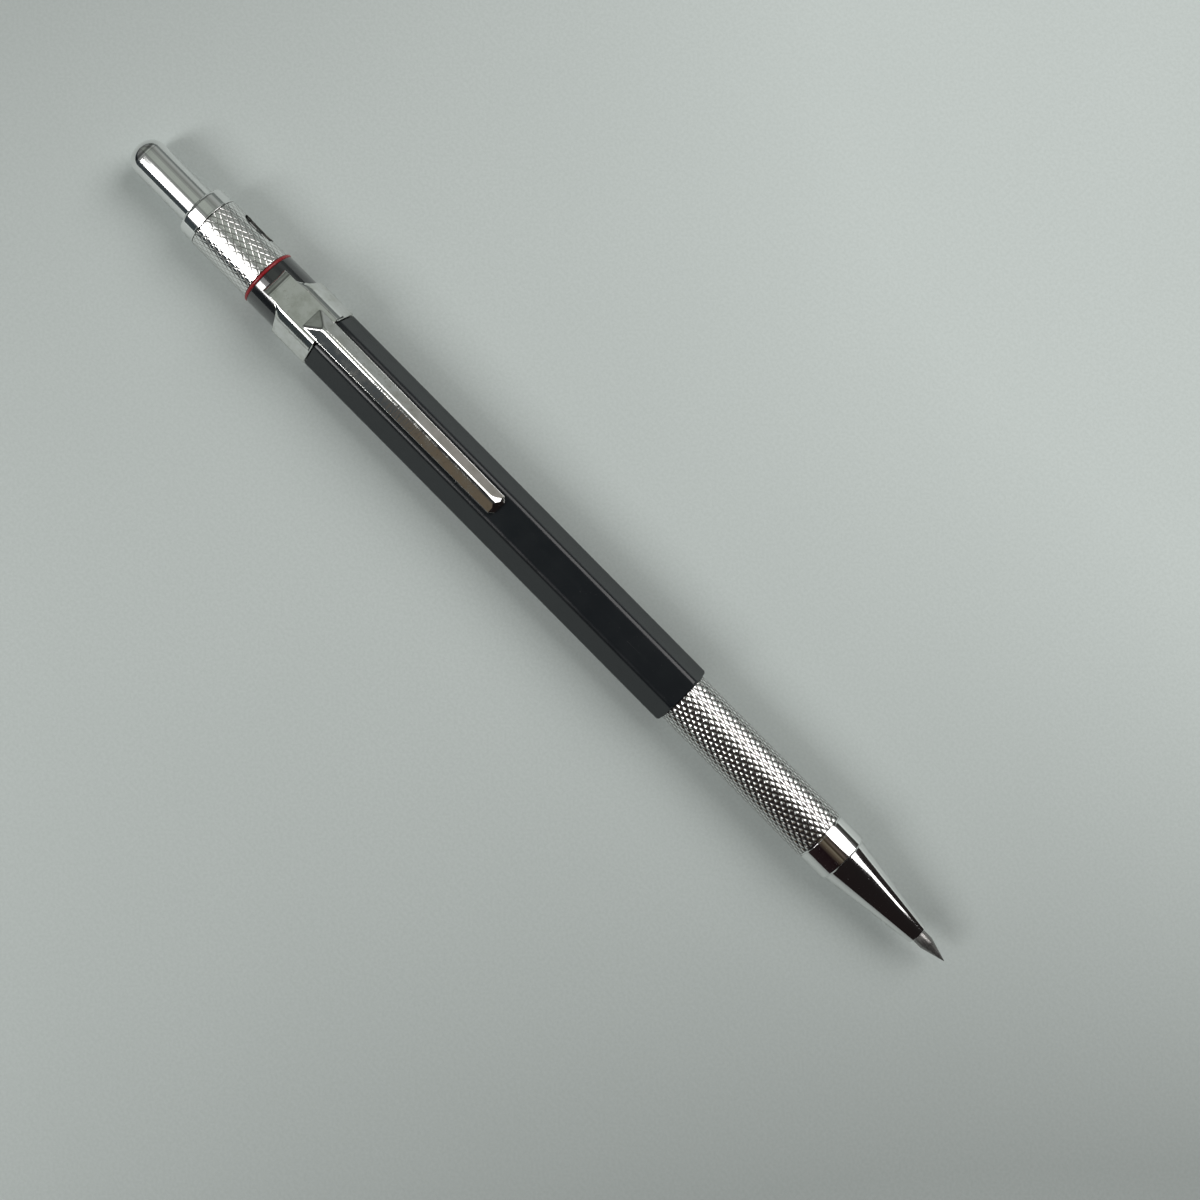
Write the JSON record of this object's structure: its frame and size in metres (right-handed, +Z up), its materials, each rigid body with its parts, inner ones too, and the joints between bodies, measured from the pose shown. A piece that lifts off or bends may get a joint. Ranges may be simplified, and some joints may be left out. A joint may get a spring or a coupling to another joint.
{
  "type": "lead holder",
  "caption": "Clutch lead holder with hexagonal barrel, knurled metal grip, conical nose, push button, spring clip and turning lead-grade window.",
  "frame": {"origin": "on the surface the pen lies on, under the middle of its whole length", "axes": "+X along the pen from the push button to the lead's point, +Z up through the clip, +Y to the left of +X, on the side of the grade window"},
  "size_m": [0.1508, 0.0092, 0.0101],
  "materials": {
    "black_plastic": "satin black moulded plastic",
    "black_gloss": "gloss black plastic",
    "knurled_chrome": "diamond-knurled and plated",
    "chrome": "polished plate",
    "clip_chrome": "polished plated sheet with faint stains",
    "inner_steel": "drawn tube",
    "drum_print": "black with white grade marks",
    "red_plastic": "gloss red",
    "brass_inner": "turned",
    "jaw_brass": "turned and split",
    "spring_steel": "drawn wire",
    "graphite": "sharpened graphite, slight metallic sheen"
  },
  "bodies": {
    "barrel": {"barrel": "black_plastic", "grip_sleeve": "knurled_chrome", "nose_ring": "chrome", "nose_cone": "chrome", "rear_tube": "inner_steel", "collar": "chrome", "grade_drum": "drum_print", "red_ring": "red_plastic", "rear_cap": "black_gloss", "clip_band": "clip_chrome", "return_spring": "spring_steel"},
    "plunger": {"button": "chrome", "button_bush": "brass_inner", "lead_tube": "brass_inner", "spring_collar": "brass_inner", "clutch_body": "brass_inner"},
    "jaw_1": {"jaw_1": "jaw_brass"},
    "jaw_2": {"jaw_2": "jaw_brass"},
    "jaw_3": {"jaw_3": "jaw_brass"},
    "lead": {"lead": "graphite"},
    "indicator": {"indicator_sleeve": "knurled_chrome"},
    "clip": {"clip_arm": "clip_chrome"}
  },
  "joints": [
    {"name": "button_press", "type": "slide", "parent": "barrel", "child": "plunger", "axis": [1, 0, 0], "range_m": [0, 0.0035], "stiffness_N_per_m": 800, "springref_m": -0.004, "deforming": ["return_spring"]},
    {"name": "jaw_1_open", "type": "hinge", "parent": "plunger", "child": "jaw_1", "pos_m": [0.05792, 0, 0.0055], "axis": [0, -1, 0], "range_deg": [0, 0.62]},
    {"name": "jaw_2_open", "type": "hinge", "parent": "plunger", "child": "jaw_2", "pos_m": [0.05792, 0.00117, 0.00347], "axis": [0, 0.5, 0.866], "range_deg": [0, 0.62]},
    {"name": "jaw_3_open", "type": "hinge", "parent": "plunger", "child": "jaw_3", "pos_m": [0.05792, -0.00117, 0.00347], "axis": [0, 0.5, -0.866], "range_deg": [0, 0.62]},
    {"name": "lead_slide", "type": "slide", "parent": "plunger", "child": "lead", "axis": [1, 0, 0], "range_m": [-0.005, 0.025]},
    {"name": "indicator_turn", "type": "hinge", "parent": "barrel", "child": "indicator", "pos_m": [-0.05643, 0, 0.00415], "axis": [1, 0, 0], "continuous": true},
    {"name": "clip_flex", "type": "hinge", "parent": "barrel", "child": "clip", "pos_m": [-0.04256, 0, 0.0091], "axis": [0, -1, 0], "range_deg": [0, 3.5], "stiffness_Nm_per_rad": 0.5, "springref_deg": -2.86}
  ],
  "couplings": [
    {"joint": "jaw_1_open", "follows": "button_press", "rad_per_m": 2.992},
    {"joint": "jaw_2_open", "follows": "button_press", "rad_per_m": 2.992},
    {"joint": "jaw_3_open", "follows": "button_press", "rad_per_m": 2.992}
  ]
}
